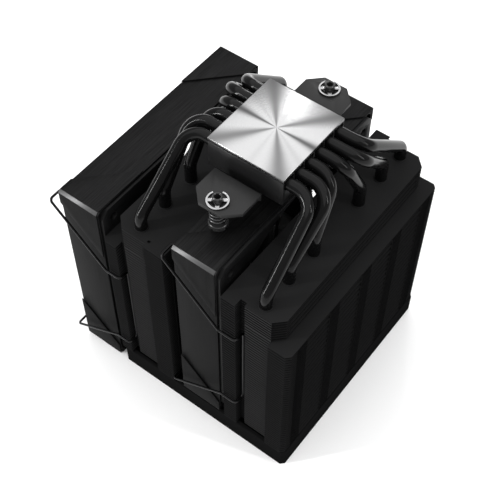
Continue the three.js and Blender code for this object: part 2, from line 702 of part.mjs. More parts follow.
function fanRotor() {
  const cup = [
    [0, hubFront], [HUB_RADIUS - 1, hubFront], [HUB_RADIUS, hubFront + 1], [HUB_RADIUS, hubBack],
    [HUB_RADIUS - HUB_WALL, hubBack], [HUB_RADIUS - HUB_WALL, hubFront + HUB_WALL],
    [0, hubFront + HUB_WALL],
  ];
  const points = cup.map(([r, x]) => new THREE.Vector2(r, x));
  const hub = solid(new THREE.LatheGeometry(points, 24).applyMatrix4(LATHE_TO_X));
  const blades = Array.from({ length: BLADES }, (_, index) => solid(
    blade().rotateX(index * 2 * Math.PI / BLADES),
  ));
  const cupHollow = discX(HUB_RADIUS - HUB_WALL, hubFront + HUB_WALL, hubBack + 1, 24);
  return blades.reduce((body, one) => body.add(one.subtract(solid(cupHollow))), hub);
}

function fanStator() {
  const arms = Array.from({ length: STATOR_POLES / 2 }, (_, index) => solid(
    box(STATOR_DEPTH, STATOR_ARM, 2 * statorRadius - STATOR_RIM)
      .rotateX(index * 2 * Math.PI / STATOR_POLES),
  ));
  const core = solid(discX(STATOR_CORE, -STATOR_DEPTH / 2, STATOR_DEPTH / 2, 12));
  const rim = solid(
    tubeX(statorRadius, statorRadius - STATOR_RIM, -STATOR_DEPTH / 2, STATOR_DEPTH / 2, 16),
  );
  const slots = Array.from({ length: STATOR_POLES }, (_, index) => solid(
    box(STATOR_DEPTH + 2, STATOR_SLOT, 2 * STATOR_SLOT_DEPTH).translate(0, 0, statorRadius)
      .rotateX((index + 0.5) * 2 * Math.PI / STATOR_POLES),
  ));
  const joined = arms.reduce((body, arm) => body.add(arm), core).add(rim);
  const slotted = slots.reduce((body, slot) => body.subtract(slot), joined);
  return slotted.subtract(solid(discX(cupOuter + GAP, -STATOR_DEPTH, STATOR_DEPTH, 12)))
    .translate((statorFront + statorBack) / 2, 0, 0);
}

function fan(name, x, z) {
  const group = new THREE.Group();
  group.position.set(x, 0, z);
  const reaches = [[GUARD_LONG, GUARD_SHORT], [GUARD_SHORT, GUARD_LONG]];
  group.add(
    piece(`${name}_sleeve`, fanSleeve(), brushed),
    piece(`${name}_frame`, fanFrame(), plastic),
    piece(`${name}_rotor`, fanRotor(), plastic),
    piece(
      `${name}_magnet_ring`,
      tubeX(magnetOuter, magnetInner, statorFront - 1, hubBack - 1, 20), magnet,
    ),
    piece(
      `${name}_shaft`,
      discX(SHAFT_RADIUS, hubFront + HUB_WALL + GAP, motorFront - 1, 12), brightSteel,
    ),
    piece(
      `${name}_bearing`,
      tubeX(bearingOuter, SHAFT_RADIUS + RUNNING_GAP, bearingFront, motorFront - 1 - GAP, 12), bronze,
    ),
    piece(`${name}_stator`, fanStator(), copper),
    piece(
      `${name}_circuit_board`,
      tubeX(statorRadius - BOARD_INSET, cupOuter + GAP, boardBack - BOARD_THICKNESS, boardBack, 16),
      boardGreen,
    ),
  );
  for (let corner = 0; corner < 4; corner++) {
    const [front, back] = reaches[corner % 2];
    const guard = cornerGuard(corner, front, back);
    group.add(piece(`${name}_corner_guard_${corner + 1}`, guard, brushed));
  }
  return group;
}

// ---------------------------------------------------------------- wire clips

// One wire: hook over the fan's front, slanting run to the fins, upright run in their notch
// (the clip turns on it), and the same again below.
function fanClip(name, fanX, fanZ, side, notchX) {
  const front = fanX + fanFront - CLIP_REACH;
  const tip = fanX + fanFront - GAP;
  const outside = Math.max(FIN_LENGTH / 2, fanHalf) + CLIP_STANDOFF;
  const inside = fanHalf - CLIP_HOOK;
  const inNotch = FIN_LENGTH / 2 - CLIP_NOTCH_DEPTH / 2;
  const elbow = fanX + fanBack + WIRE_BEND;
  const hookHeight = fanHalf - CLIP_HOOK_INSET;
  const half = (hook, leg) => [
    new THREE.Vector3(tip, side * inside, fanZ + hook),
    new THREE.Vector3(front, side * inside, fanZ + hook),
    new THREE.Vector3(front, side * outside, fanZ + hook),
    new THREE.Vector3(elbow, side * outside, fanZ + leg),
    new THREE.Vector3(notchX, side * outside, fanZ + leg),
    new THREE.Vector3(notchX, side * inNotch, fanZ + leg),
  ];
  const corners = [
    ...half(hookHeight, CLIP_UPPER_LEG),
    ...half(-hookHeight, -CLIP_LOWER_LEG).reverse(),
  ];
  const radii = corners.slice(1, -1).map(() => WIRE_BEND);
  return piece(name, rod(bend(corners, radii, 1), WIRE_RADIUS, 3), wireSteel);
}

// ---------------------------------------------------------------- assembly

const cooler = new THREE.Group();
cooler.add(
  piece('contact_plate', contactPlate, nickel),
  piece('base_block', baseBlock, baseBlack),
  piece('mounting_bar', mountingBar(), steelBlack),
  piece('top_cover', topCover, coverBlack),
  finTower('outer_tower', -1),
  finTower('rear_tower', 1),
  fan('outer_fan', outerFanX, fanHalf),
  fan('middle_fan', middleFanX, middleFanZ),
);
pipeLanes.forEach((pipe, index) => {
  cooler.add(piece(`heat_pipe_${index + 1}`, heatPipe(pipe), pipeBlack));
});
barScrewPlaces.forEach((y, index) => {
  cooler.add(piece(`bar_screw_${index + 1}`, barScrew(y), steelBlack));
});
nutPlaces.forEach((y, index) => {
  const end = index + 1;
  cooler.add(
    piece(`mounting_nut_${end}`, mountingNut(y), steelBlack),
    piece(`nut_spring_${end}`, nutSpring(y), brightSteel),
    piece(`retaining_ring_${end}`, retainingRing(y), brightSteel),
  );
});
const outerNotch = -(foldEnd + CLIP_NOTCH_WIDTH / 2);
const innerNotch = foldStart - CLIP_NOTCH_WIDTH / 2;
[['left', -1], ['right', 1]].forEach(([word, side]) => {
  cooler.add(
    fanClip(`outer_fan_clip_${word}`, outerFanX, fanHalf, side, outerNotch),
    fanClip(`middle_fan_clip_${word}`, middleFanX, middleFanZ, side, innerNotch),
  );
});

export default cooler;
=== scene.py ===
"""The finish of a twin-tower CPU air cooler: fin sheets, bent pipes, wires, fans and their
materials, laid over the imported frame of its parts."""

import json
import math

import bmesh
import bpy
from bpy.props import FloatProperty, FloatVectorProperty, IntProperty, PointerProperty
from mathutils import Matrix, Vector

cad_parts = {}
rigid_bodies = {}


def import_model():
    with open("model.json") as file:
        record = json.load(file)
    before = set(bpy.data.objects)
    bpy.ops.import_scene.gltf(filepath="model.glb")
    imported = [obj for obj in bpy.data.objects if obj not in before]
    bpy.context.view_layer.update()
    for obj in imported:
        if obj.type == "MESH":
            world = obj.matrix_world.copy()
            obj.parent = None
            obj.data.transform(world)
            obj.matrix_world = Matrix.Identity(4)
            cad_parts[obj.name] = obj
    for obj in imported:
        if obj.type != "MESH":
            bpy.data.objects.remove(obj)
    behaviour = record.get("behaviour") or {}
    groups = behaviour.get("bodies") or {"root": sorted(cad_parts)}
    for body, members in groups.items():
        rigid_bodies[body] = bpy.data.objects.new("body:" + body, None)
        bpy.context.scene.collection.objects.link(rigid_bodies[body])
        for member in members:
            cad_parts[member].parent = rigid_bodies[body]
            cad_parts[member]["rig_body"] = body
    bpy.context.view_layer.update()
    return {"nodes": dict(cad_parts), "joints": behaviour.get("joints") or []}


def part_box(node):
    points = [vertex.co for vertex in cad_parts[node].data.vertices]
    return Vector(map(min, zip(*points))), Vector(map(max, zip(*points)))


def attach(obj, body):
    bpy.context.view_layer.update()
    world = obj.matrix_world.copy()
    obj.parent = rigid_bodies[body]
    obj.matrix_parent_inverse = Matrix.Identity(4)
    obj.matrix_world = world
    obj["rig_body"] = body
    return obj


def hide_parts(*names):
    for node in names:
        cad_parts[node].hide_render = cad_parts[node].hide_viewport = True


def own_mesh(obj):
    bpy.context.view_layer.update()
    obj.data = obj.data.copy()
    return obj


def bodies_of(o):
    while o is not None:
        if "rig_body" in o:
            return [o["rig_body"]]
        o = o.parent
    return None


bl_info = {
    "name": "Tower Cooler Finish",
    "version": (1, 0, 0),
    "blender": (4, 5, 0),
    "location": "View3D > Sidebar > Cooler",
    "description": "Fin sheets, heat pipes, fans, wire clips and finishes of a tower cooler",
    "category": "Object",
}

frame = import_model()

MM = 0.001
X_AXIS, Y_AXIS, Z_AXIS = Vector((1, 0, 0)), Vector((0, 1, 0)), Vector((0, 0, 1))
FANS = ("outer_fan", "middle_fan")
TOWERS = (("outer_tower", -1), ("rear_tower", 1))
SIDES = (("left", -1), ("right", 1))
FULL_TURN = 2 * math.pi
LARGE_FACE = 20 * MM * MM

# Painted light and dark rays of the contact plate, standing in for the reflections on its turned
# face: direction in degrees, depth, sharpness.
BROAD_PAINTED_RAYS = ((1.7, 0.95, 150), (51.7, 0.75, 60), (129.7, 0.75, 60))
FINE_PAINTED_RAYS = ((26, -0.1, 70), (152, 0.16, 220), (96, 0.1, 260))

# The cooler's middle, the camera's place and the lights: name, place, aim, two sizes, power.
MIDDLE = (0, 0, 0.08)
CAMERA_PLACE, CAMERA_SHIFT = (0.1782, -0.2577, 0.5004), (-0.008, 0.0152)
LIGHTS = (
    ("top_softbox", (-0.2, 0.3, 1.6), (-0.2, 0.3, 0), 3.4, 3.4, 50),
    ("left_strip", (-0.78, -0.98, 0.5), MIDDLE, 0.08, 0.8, 11),
    ("right_strip", (1.1, 0.25, 0.75), MIDDLE, 0.05, 0.7, 4),
    ("back_strip", (-0.62, 1.2, 0.72), MIDDLE, 0.05, 0.7, 1.8),
)
ROOM_GLOW = 0.5


# ---- settings


def length(name, description, millimetres):
    return FloatProperty(
        name=name, description=description, default=millimetres * MM, subtype="DISTANCE",
        unit="LENGTH", precision=5,
    )


def angle(name, description, degrees):
    return FloatProperty(
        name=name, description=description, default=math.radians(degrees),
        subtype="ANGLE", unit="ROTATION",
    )


def colour(name, description, default):
    return FloatVectorProperty(
        name=name, description=description, default=default, subtype="COLOR",
        size=3, min=0, max=1,
    )


class FinSizes(bpy.types.PropertyGroup):
    sheet: length("Sheet", "Thickness of one fin", 0.5)
    wide_count: IntProperty(name="Wide fins", description="Wide fins in a tower", default=46)
    narrow_count: IntProperty(name="Narrow fins", description="Fins beside the pipes", default=8)
    pipe_row: length("Pipe row", "Pipe centres from a tower's inner face", 18.7)
    fold_width: length("Fold width", "Band of folded tabs at the fin ends", 14.6)
    fold_recess: length("Fold recess", "How far the band stands back", 2.6)
    notch_width: length("Notch width", "Slot that a fan clip sits in", 3.4)
    notch_depth: length("Notch depth", "Depth of the clip slot", 4.6)
    wide_corner: length("Wide corner", "Cut across a wide fin's corner", 2)
    narrow_corner: length("Narrow corner", "Cut across a narrow fin's corner", 4.9)
    tab_bands: IntProperty(name="Tab bands", description="Bands of tabs on a long face", default=5)
    tab_width: length("Tab width", "Width of a tab on a long face", 7.6)
    tab_gap: length("Tab gap", "Open line between one tab and the next", 0.5)
    edge_step: length("Edge step", "Every second fin's long edges stand back", 1.2)
    pin_hole: length("Pin hole", "Radius of the small hole in the top fin", 0.8)


class PipeSizes(bpy.types.PropertyGroup):
    radius: length("Radius", "Outer radius of a heat pipe", 3)
    lane_pitch: length("Lane pitch", "Spacing of the pipes in the base", 7.5)
    cover: length("Cover", "Pipe below the top of the base block", 0.2)
    upper_bend: length("Upper bend", "Centreline radius above the base's side", 9.5)
    lower_bend: length("Lower bend", "Centreline radius above the fins", 7.5)
    low_end: length("Low end", "Height of the pipe ends", 6.5)
    collar: length("Collar", "Height of the fin's collar round a pipe", 0.6)


class FanSizes(bpy.types.PropertyGroup):
    bore: length("Bore", "Radius of the frame's air way", 57.5)
    corner: length("Corner", "Cut across a corner of the frame", 4)
    screw_hole: length("Screw hole", "Radius of the frame's screw holes", 2.15)
    screw_inset: length("Screw inset", "Screw holes from the frame's sides", 7.5)
    strut_width: length("Strut width", "Width of a motor strut", 3.5)
    strut_depth: length("Strut depth", "Depth of a motor strut", 4)
    motor_plate: length("Motor plate", "Thickness of the motor plate", 2.5)
    cup_outer: length("Bearing cup", "Outer radius of the bearing cup", 4.7)
    cup_inner: length("Cup bore", "Inner radius of the bearing cup", 3.3)
    hub: length("Hub", "Radius of the rotor's hub", 20.5)
    hub_wall: length("Hub wall", "Wall of the hub cup", 1.5)
    hub_round: length("Hub round", "Rounding of the hub's front edge", 1.6)
    blades: IntProperty(name="Blades", description="Blades on a rotor", default=9)
    blade_wall: length("Blade wall", "Thickness of a blade", 1.4)
    blade_gap: length("Blade gap", "Blade tip to air way", 1.5)
    pitch: angle("Pitch", "Blade pitch at the hub", 38)
    twist: angle("Twist", "Pitch lost from hub to tip", 14)
    sweep: angle("Sweep", "Forward lean of a blade by its tip", 14.3)
    camber: FloatProperty(name="Camber", description="Hollow of a blade by chord", default=0.1)


class WireSizes(bpy.types.PropertyGroup):
    clip_wire: length("Clip wire", "Radius of the fan clips' wire", 0.65)
    clip_bend: length("Clip bend", "Bend radius of the clips", 2)
    frame_lip: length("Frame lip", "Sleeve outside the fan's frame", 2.5)
    hook: length("Hook", "Clip hook over the fan's front", 6.5)
    hook_inset: length("Hook inset", "Hooks from the fan's upper and lower sides", 8)
    upper_leg: length("Upper leg", "Clip enters the fins above the fan's axis", 23)
    lower_leg: length("Lower leg", "Clip enters the fins below the fan's axis", 36)
    spring_wire: length("Spring wire", "Radius of the nut springs' wire", 0.45)
    spring_turns: FloatProperty(name="Spring turns", description="Coils of a spring", default=4.5)


class NutSizes(bpy.types.PropertyGroup):
    shank: length("Shank", "Radius of a mounting nut", 2.4)
    bore: length("Bore", "Radius of its threaded hole", 1.5)
    head_height: length("Head height", "Height of its head", 3)
    groove: length("Groove", "Depth of the ring's groove", 0.45)
    slot_width: length("Slot width", "Width of its cross slot", 1.2)
    ring_width: length("Ring width", "Radial width of the retaining ring", 0.9)
    lug_width: length("Lug width", "Width of the ring's lugs", 1.8)
    ring_mouth: angle("Ring mouth", "Opening of the ring", 50)
    ring_direction: angle("Ring direction", "Middle of the mouth, from the air's way", 126)


class FinishColours(bpy.types.PropertyGroup):
    fins: colour("Fins", "Black coating of the fins", (0.015, 0.015, 0.0152))
    # The next two colours are the fins' own black coat again. The first is darkened as painted
    # shade on the faces across the air's way. The second is lightened as painted light on the
    # large end-tab faces.
    fin_painted_shade: colour("Fin edges", "Fins' long edges and tabs", (0.0035, 0.0035, 0.0036))
    fin_painted_light: colour("End tabs", "Folded tabs of the fins' ends", (0.026, 0.026, 0.0263))
    cover: colour("Cover", "Black coating of the top cover", (0.007, 0.007, 0.0071))
    sleeve: colour("Sleeve", "Brushed black of the fan sleeves", (0.013, 0.013, 0.0132))
    edge: colour("Edge", "Bare chamfer of the sleeve corners", (0.085, 0.085, 0.086))
    pipe: colour("Pipe", "Black nickel of the heat pipes", (0.004, 0.004, 0.0041))
    nickel: colour("Nickel", "Polished contact plate", (0.4, 0.4, 0.403))
    base: colour("Base", "Base block", (0.012, 0.012, 0.0122))
    bar: colour("Bar", "Mounting bar", (0.016, 0.016, 0.0162))
    nut: colour("Nut", "Blackened nuts", (0.02, 0.02, 0.0203))
    bright: colour("Bright steel", "Rings and shafts", (0.36, 0.36, 0.364))
    spring: colour("Spring", "Nut springs", (0.08, 0.08, 0.081))
    wire: colour("Clip wire", "Dark spring wire", (0.018, 0.018, 0.0183))
    # This black is also painted shade on the slanting end faces of the corner guards' steps.
    plastic: colour("Plastic", "Fan frames and rotors", (0.006, 0.006, 0.0062))
    copper: colour("Copper", "Motor windings", (0.5, 0.2, 0.08))
    magnet: colour("Magnet", "Rotor magnet", (0.03, 0.03, 0.032))
    bronze: colour("Bronze", "Sintered bearing", (0.42, 0.27, 0.11))
    board: colour("Board", "Motor circuit board", (0.01, 0.06, 0.025))
    floor: colour("Floor", "Studio floor", (0.97, 0.97, 0.97))


class StudioSizes(bpy.types.PropertyGroup):
    azimuth: angle("Azimuth", "Camera round the cooler", 36.31)
    elevation: angle("Elevation", "Camera above the horizon", 53.98)
    roll: angle("Roll", "Camera turned about its own line of sight", 0.86)
    lens: FloatProperty(name="Lens", description="Focal length in mm", default=74.81)
    floor_size: length("Floor size", "Width of the floor", 6000)


SETTINGS = {
    "cooler_fins": FinSizes, "cooler_pipes": PipeSizes, "cooler_fans": FanSizes,
    "cooler_wires": WireSizes, "cooler_nuts": NutSizes, "cooler_colours": FinishColours,
    "cooler_studio": StudioSizes,
}


# ---- shader maths


class Signal:
    """A socket that a shader value comes out of; arithmetic on it adds Math nodes."""

    def __init__(self, bench, socket):
        self.bench = bench
        self.socket = socket

    def maths(self, operation, *values):
        settings = {"operation": operation}
        return self.bench.add("ShaderNodeMath", settings, dict(enumerate(values)))

    def __add__(self, other):
        return self.maths("ADD", self, other)

    def __radd__(self, other):
        return self.maths("ADD", other, self)

    def __sub__(self, other):
        return self.maths("SUBTRACT", self, other)

    def __rsub__(self, other):
        return self.maths("SUBTRACT", other, self)

    def __mul__(self, other):
        return self.maths("MULTIPLY", self, other)

    def __rmul__(self, other):
        return self.maths("MULTIPLY", other, self)

    def __pow__(self, other):
        return self.maths("POWER", self, other)

    def __abs__(self):
        return self.maths("ABSOLUTE", self)

    def cosine(self):
        return self.maths("COSINE", self)


class Bench:
    """A node tree and the shader in it that its nodes feed."""

    def __init__(self, tree, shader):
        self.tree = tree
        self.shader = tree.nodes[shader]

    def add(self, kind, settings=None, inputs=None, output=0):
        """Adds a node: its settings first, then its sockets' values or links."""
        node = self.tree.nodes.new(kind)
        for name, value in (settings or {}).items():
            setattr(node, name, value)
        for socket, value in (inputs or {}).items():
            if isinstance(value, Signal):
                self.tree.links.new(value.socket, node.inputs[socket])
            else:
                node.inputs[socket].default_value = value
        return Signal(self, node.outputs[output])

    def feed(self, socket, signal):
        """Links a signal to a socket of the shader."""
        self.tree.links.new(signal.socket, self.shader.inputs[socket])


class Finish(Bench):
    """One material, with a Principled shader and the nodes that feed it."""

    def __init__(self, name, base_colour, roughness, metallic=0.0, gloss=0.5, tint=1.0):
        self.material = bpy.data.materials.new(name)
        self.material.use_nodes = True
        super().__init__(self.material.node_tree, "Principled BSDF")
        self.colour = (*base_colour, 1)
        self.material.diffuse_color = self.colour
        values = {
            "Base Color": self.colour, "Roughness": roughness, "Metallic": metallic,
            "Specular IOR Level": gloss, "Specular Tint": (tint, tint, tint, 1),
        }
        for socket, value in values.items():
            self.shader.inputs[socket].default_value = value

    def place(self, scale=(1, 1, 1), centre=(0, 0, 0)):
        """Object coordinates about a centre, in stretched metres."""
        where = self.add("ShaderNodeTexCoord", output="Object")
        moved = self.add(
            "ShaderNodeVectorMath", {"operation": "SUBTRACT"}, {0: where, 1: centre}
        )
        return self.add(
            "ShaderNodeVectorMath", {"operation": "MULTIPLY"}, {0: moved, 1: scale}
        )

    def noise(self, scale, detail=2.0, stretch=(1, 1, 1), roughness=0.5):
        """Noise over the piece, from 0 to 1."""
        inputs = {
            "Vector": self.place(stretch), "Scale": scale, "Detail": detail,
            "Roughness": roughness,
        }
        return self.add("ShaderNodeTexNoise", inputs=inputs, output="Fac")

    def shades(self, factor, low, high):
        """The base colour, darker where the factor is 0 and lighter where it is 1."""
        dark = tuple(low * c for c in self.colour[:3]) + (1,)
        light = tuple(min(high * c, 1) for c in self.colour[:3]) + (1,)
        settings = {"data_type": "RGBA", "clamp_factor": True}
        return self.add("ShaderNodeMix", settings, {0: factor, 6: dark, 7: light}, output=2)

    def dress(self, factor, low, high, roughness=None, relief=None):
        """Varies the base colour, and where given the roughness and the relief, which is a
        height, its strength and its depth. Returns the material."""
        self.feed("Base Color", self.shades(factor, low, high))
        if roughness:
            self.feed("Roughness", roughness)
        if relief:
            inputs = dict(zip(("Height", "Strength", "Distance"), relief))
            self.feed("Normal", self.add("ShaderNodeBump", inputs=inputs))
        return self.material


# ---- finishes


def coated_black(name, base_colour, roughness, gloss=0.5):
    """A thin black coat on sheet metal: a fine grain, slightly cloudy."""
    finish = Finish(name, base_colour, roughness, gloss=gloss)
    fine = finish.noise(2600, 3)
    clouds = finish.noise(26, 2)
    matt = roughness - 0.08 + clouds * 0.1 + fine * 0.06
    return finish.dress(fine * 0.5 + clouds * 0.5, 0.72, 1.28, matt, (fine, 0.18, 0.05 * MM))


def brushed_black(name, base_colour, roughness):
    """Anodised aluminium brushed round the fan, so its lines vary along the air's way only."""
    finish = Finish(name, base_colour, roughness, 0.6, gloss=0.1, tint=0.08)
    hair = finish.noise(1, 5, (3000, 40, 40), 0.75)
    relief = (hair, 0.3, 0.06 * MM)
    return finish.dress((hair - 0.36) * 3.4, 0.5, 1.6, 0.3 + hair * 0.24, relief)


def bare_edge(name, base_colour):
    """The bright cut along a brushed edge."""
    finish = Finish(name, base_colour, 0.32, 0.5, gloss=0.1)
    marks = finish.noise(1, 4, (3000, 700, 700), 0.7)
    return finish.dress(marks, 0.7, 1.25, 0.24 + marks * 0.2)


def black_nickel(name, base_colour):
    """Glossy plated pipe with faint draw marks."""
    finish = Finish(name, base_colour, 0.2, gloss=0.13)
    marks = finish.noise(90, 3)
    grain = finish.noise(1500, 2)
    return finish.dress(marks, 0.8, 1.2, 0.1 + marks * 0.05 + grain * 0.02)


def painted_ray(turn, degrees, depth, sharpness):
    """A painted reflection: a line both ways from the centre, strongest where the turn is its
    direction.
    """
    return abs((turn - math.radians(degrees)).cosine()) ** sharpness * depth


def turned_nickel(name, base_colour):
    """A polished face turned on a lathe: fine rings, and a fan of light and dark rays painted into
    its colour as reflections.
    """
    finish = Finish(name, base_colour, 0.22, 1.0)
    low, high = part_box("contact_plate")
    where = finish.place(centre=tuple((low + high) / 2))
    x = finish.add("ShaderNodeSeparateXYZ", inputs={0: where})
    y = Signal(finish, x.socket.node.outputs["Y"])
    turn = x.maths("ARCTAN2", y, x)
    distance = finish.add(
        "ShaderNodeVectorMath", {"operation": "LENGTH"}, {0: where}, output="Value"
    )
    wobbly = turn + finish.noise(60, 2) * 0.05
    rays = 0
    for row in BROAD_PAINTED_RAYS:
        rays = painted_ray(wobbly, *row) + rays
    for row in FINE_PAINTED_RAYS:
        rays = painted_ray(turn, *row) + rays
    rings = finish.add(
        "ShaderNodeTexNoise",
        {"noise_dimensions": "1D"},
        {"W": distance * 6000, "Scale": 1.0, "Detail": 3.0},
    )
    roughness = 0.2 + rings * 0.12 + rays * 0.1
    # The rays lighten and darken the base colour: painted reflections.
    return finish.dress(1 - rays, 0.2, 1.12, roughness, (rings, 0.12, 0.02 * MM))


def moulded_plastic(name, base_colour):
    """Black plastic with the grain and flow of its mould."""
    finish = Finish(name, base_colour, 0.5, gloss=0.15)
    grain = finish.noise(1900, 2)
    flow = finish.noise(34, 2)
    return finish.dress(flow, 0.8, 1.2, 0.42 + flow * 0.14, (grain, 0.22, 0.05 * MM))


def drawn_wire(name, base_colour, roughness):
    """Steel drawn or turned to a fine polish."""
    finish = Finish(name, base_colour, roughness, 1.0)
    marks = finish.noise(700, 3)
    return finish.dress(marks, 0.7, 1.3, roughness - 0.06 + marks * 0.14)


def wound_copper(name, base_colour):
    """Windings, as fine ridges along the motor."""
    finish = Finish(name, base_colour, 0.3, 0.9)
    turns = finish.noise(1, 1, (2200, 60, 60))
    return finish.dress(turns, 0.5, 1.3, relief=(turns, 0.6, 0.2 * MM))


def rough_solid(name, base_colour, roughness, metallic):
    """A plain inner piece: sintered, pressed or laminated, with its own grain."""
    finish = Finish(name, base_colour, roughness, metallic)
    grain = finish.noise(900, 4)
    return finish.dress(grain, 0.7, 1.3, roughness - 0.1 + grain * 0.2, (grain, 0.3, 0.05 * MM))


def studio_floor(name, base_colour):
    """Plain paper, with hardly any grain."""
    finish = Finish(name, base_colour, 0.8, gloss=0.1)
    paper = finish.noise(300, 2)
    return finish.dress(paper, 0.995, 1.005)


def all_finishes(colours):
    """Every material by the key that the pieces ask for."""
    return {
        "fins": coated_black("black_coated_fins", colours.fins, 0.5, 0),
        # The next two are the fin coat with painted shade and painted light in their colour.
        "fin_painted_shade": coated_black("black_coated_painted_shade", colours.fin_painted_shade, 0.5, 0),
        "fin_painted_light": coated_black("black_coated_painted_light", colours.fin_painted_light, 0.5, 0),
        "cover": coated_black("black_coated_cover", colours.cover, 0.55, 0),
        "base": coated_black("black_base", colours.base, 0.3, 0.2),
        "bar": coated_black("black_steel", colours.bar, 0.42, 0.2),
        "nut": coated_black("blackened_nut", colours.nut, 0.3),
        "sleeve": brushed_black("brushed_black", colours.sleeve, 0.36),
        "edge": bare_edge("bare_edge", colours.edge),
        "pipe": black_nickel("black_nickel", colours.pipe),
        "nickel": turned_nickel("turned_nickel", colours.nickel),
        "bright": drawn_wire("bright_steel", colours.bright, 0.22),
        "wire": drawn_wire("dark_wire", colours.wire, 0.3),
        "spring": drawn_wire("spring_wire", colours.spring, 0.3),
        "plastic": moulded_plastic("moulded_black", colours.plastic),
        "copper": wound_copper("wound_copper", colours.copper),
        "magnet": rough_solid("pressed_magnet", colours.magnet, 0.65, 0.1),
        "bronze": rough_solid("sintered_bronze", colours.bronze, 0.5, 0.8),
        "board": rough_solid("circuit_board", colours.board, 0.4, 0.0),
        "floor": studio_floor("studio_floor", colours.floor),
    }


FINISHES = {}


# ---- mesh helpers


def fan_axis(name):
    """The middle of a fan's frame."""
    low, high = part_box(f"{name}_frame")
    return (low + high) / 2


def placed(name, data):
    """A new object in the scene."""
    thing = bpy.data.objects.new(name, data)
    bpy.context.scene.collection.objects.link(thing)
    return thing


def body_of(node):
    """The name of the body that a CAD node belongs to."""
    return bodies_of(frame["nodes"][node])[0]


def finished_piece(name, bm, node, finishes, smooth=30):
    """Makes a piece from a bmesh, in place of a CAD node and moving with its body."""
    mesh = bpy.data.meshes.new(name)
    bmesh.ops.recalc_face_normals(bm, faces=bm.faces)
    bm.to_mesh(mesh)
    bm.free()
    for key in finishes:
        mesh.materials.append(FINISHES[key])
    mesh.shade_smooth()
    mesh.set_sharp_from_angle(angle=math.radians(smooth))
    piece = placed(name, mesh)
    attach(piece, body_of(node))
    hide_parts(node)
    return piece


def outline_face(bm, points):
    """A flat face through points, given as vectors."""
    return bm.faces.new([bm.verts.new(point) for point in points])


def extrude(bm, faces, offset):
    """Draws faces out by an offset and returns the new ones."""
    edges = {edge for face in faces for edge in face.edges}
    verts = {vert for face in faces for vert in face.verts}
    made = bmesh.ops.extrude_face_region(bm, geom=[*faces, *edges, *verts])["geom"]
    verts = [v for v in made if isinstance(v, bmesh.types.BMVert)]
    bmesh.ops.translate(bm, verts=verts, vec=offset)
    return [f for f in made if isinstance(f, bmesh.types.BMFace)]


def block(bm, low, high):
    """A box between two corners."""
    size = Vector(high) - Vector(low)
    centre = (Vector(high) + Vector(low)) / 2
    matrix = Matrix.Translation(centre) @ Matrix.Diagonal((*size, 1))
    return bmesh.ops.create_cube(bm, size=1, matrix=matrix)["verts"]


def rod(bm, centre, axis, radius, depth, sides):
    """A round bar about its centre."""
    turn = Z_AXIS.rotation_difference(axis).to_matrix().to_4x4()
    bmesh.ops.create_cone(
        bm, cap_ends=True, segments=sides, radius1=radius, radius2=radius, depth=depth,
        matrix=Matrix.Translation(centre) @ turn,
    )


def lathe(bm, profile, centre, axis, sides=64):
    """Spins a profile of (radius, place along the axis) pairs about an axis."""
    across = Y_AXIS if axis == X_AXIS else X_AXIS
    verts = [bm.verts.new(centre + across * radius + axis * along) for radius, along in profile]
    edges = [bm.edges.new(pair) for pair in zip(verts, verts[1:])]
    bmesh.ops.spin(
        bm, geom=verts + edges, cent=centre, axis=axis, angle=FULL_TURN, steps=sides,
        use_merge=True,
    )
    bmesh.ops.remove_doubles(bm, verts=bm.verts, dist=1e-7)


def rounded(profile, radius, steps=5):
    """A profile with each inner corner turned into an arc."""
    points = [Vector(profile[0])]
    for before, corner, after in zip(profile, profile[1:], profile[2:]):
        before, corner, after = Vector(before), Vector(corner), Vector(after)
        reach = min(radius, (corner - before).length / 2, (after - corner).length / 2)
        start = corner + (before - corner).normalized() * reach
        end = corner + (after - corner).normalized() * reach
        for step in range(steps + 1):
            t = step / steps
            points.append(start * (1 - t) ** 2 + corner * 2 * t * (1 - t) + end * t**2)
    return [*points, Vector(profile[-1])]


def bent(corners, radii, steps=12):
    """The corners of a bent bar as points, each inner corner an arc of its radius."""
    points = [corners[0]]
    for before, corner, after, radius in zip(corners, corners[1:], corners[2:], radii):
        arriving, leaving = (corner - before).normalized(), (after - corner).normalized()
        turn = arriving.angle(leaving)
        inward = (leaving - arriving * arriving.dot(leaving)).normalized()
        start = corner - arriving * radius * math.tan(turn / 2)
        for step in range(steps + 1):
            part = turn * step / steps
            points.append(
                start + arriving * radius * math.sin(part)
                + inward * radius * (1 - math.cos(part))
            )
    return [*points, corners[-1]]


def sweep(bm, points, radius, sides=16):
    """A round bar along points: a disc, drawn out from point to point and turned with them."""
    headings = [(b - a).normalized() for a, b in zip(points, points[1:])]
    tangents = [headings[0]]
    tangents += [(a + b).normalized() for a, b in zip(headings, headings[1:])]
    tangents.append(headings[-1])
    turn = Z_AXIS.rotation_difference(tangents[0]).to_matrix().to_4x4()
    disc = bmesh.ops.create_circle(
        bm, cap_ends=True, segments=sides, radius=radius,
        matrix=Matrix.Translation(points[0]) @ turn,
    )["verts"]
    tip = [face for face in disc[0].link_faces if all(v in disc for v in face.verts)]
    for before, here, was, now in zip(points, points[1:], tangents, tangents[1:]):
        tip = extrude(bm, tip, here - before)
        verts = list({vert for face in tip for vert in face.verts})
        turn = was.rotation_difference(now).to_matrix()
        bmesh.ops.rotate(bm, verts=verts, cent=here, matrix=turn)


def soften(bm, width, angle_limit=25, segments=2):
    """Bevels the edges that are sharper than an angle."""
    limit = math.radians(angle_limit)
    edges = [e for e in bm.edges if e.is_manifold and e.calc_face_angle(0) > limit]
    bmesh.ops.bevel(
        bm, geom=edges, offset=width, offset_type="OFFSET", affect="EDGES",
        segments=segments, profile=0.5, material=-1, clamp_overlap=True,
    )


